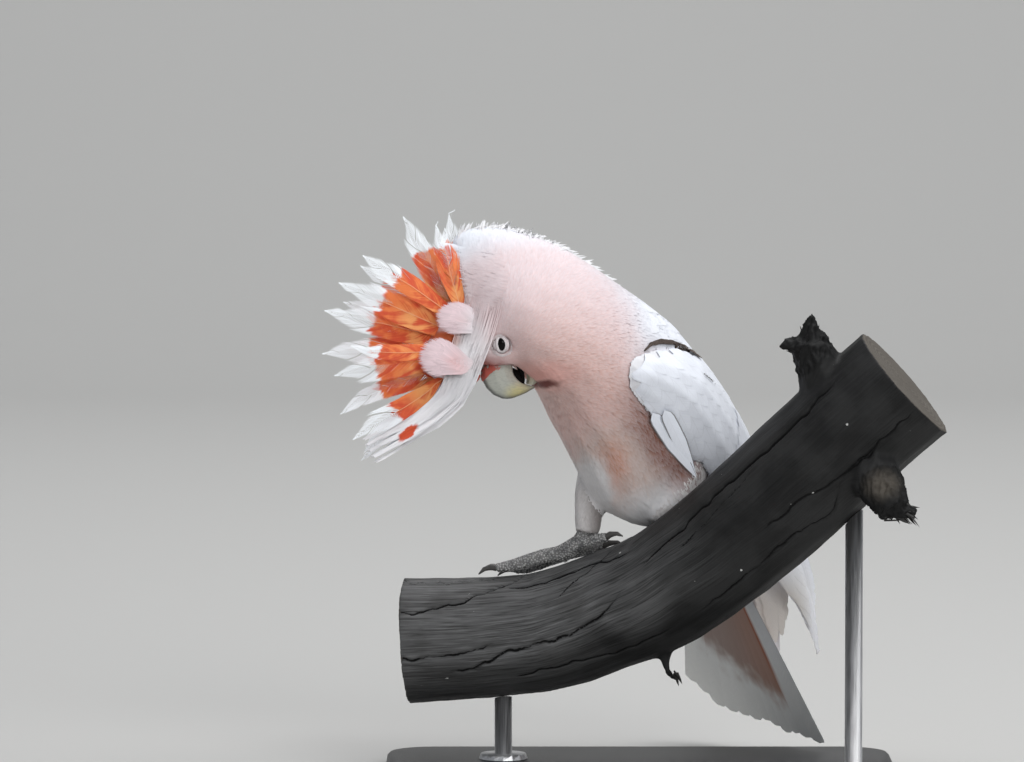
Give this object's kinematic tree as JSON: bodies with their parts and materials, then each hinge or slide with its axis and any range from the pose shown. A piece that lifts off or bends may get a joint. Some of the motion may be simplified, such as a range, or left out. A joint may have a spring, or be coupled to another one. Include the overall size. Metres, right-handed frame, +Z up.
{
  "type": "cockatoo model on perch",
  "caption": "Life-size still model of a pink cockatoo bowing with its crest fanned, gripping a cut length of dead branch on a flat stand with rods.",
  "frame": {"origin": "centre of the underside of the stand's base", "axes": "+Z up; -X is the side the bird faces and bows to; +Y is the far side of the branch, where the tail hangs"},
  "size_m": [0.3528, 0.2393, 0.3247],
  "materials": {
    "plumage_pink": "soft feathers, salmon pink and white",
    "plumage_white": "soft feathers, white",
    "crest": "feathers, orange-red with yellow-orange centres and white tips",
    "bill": "smooth pale horn",
    "tongue": "dark, matt",
    "eye": "wet gloss",
    "foot": "scaly grey skin",
    "claw": "smooth dark horn",
    "perch": "charred, weathered dead wood",
    "stand_base": "satin dark grey paint",
    "stand_rod": "brushed"
  },
  "bodies": {
    "root": {"bill_lower": "bill", "bill_upper": "bill", "claw_left_1": "claw", "claw_left_2": "claw", "claw_left_3": "claw", "claw_left_4": "claw", "claw_right_1": "claw", "claw_right_2": "claw", "claw_right_3": "claw", "claw_right_4": "claw", "crest_coverts": "plumage_pink", "crest_feather_01": "crest", "crest_feather_02": "crest", "crest_feather_03": "crest", "crest_feather_04": "crest", "crest_feather_05": "crest", "crest_feather_06": "crest", "crest_feather_07": "crest", "crest_feather_08": "crest", "crest_feather_09": "crest", "crest_feather_10": "crest", "crest_feather_11": "crest", "crest_feather_12": "crest", "crest_feather_13": "crest", "crest_feather_14": "crest", "crest_feather_15": "crest", "crest_plume": "plumage_white", "eye_left": "eye", "eye_right": "eye", "foot_left": "foot", "foot_right": "foot", "head": "plumage_pink", "neck": "plumage_pink", "perch_branch": "perch", "stand_base": "stand_base", "stand_rod_left": "stand_rod", "stand_rod_right": "stand_rod", "tail": "plumage_white", "thigh_left": "plumage_white", "thigh_right": "plumage_white", "tongue": "tongue", "trunk": "plumage_pink", "wing_left": "plumage_white", "wing_right": "plumage_white"}
  },
  "joints": []
}
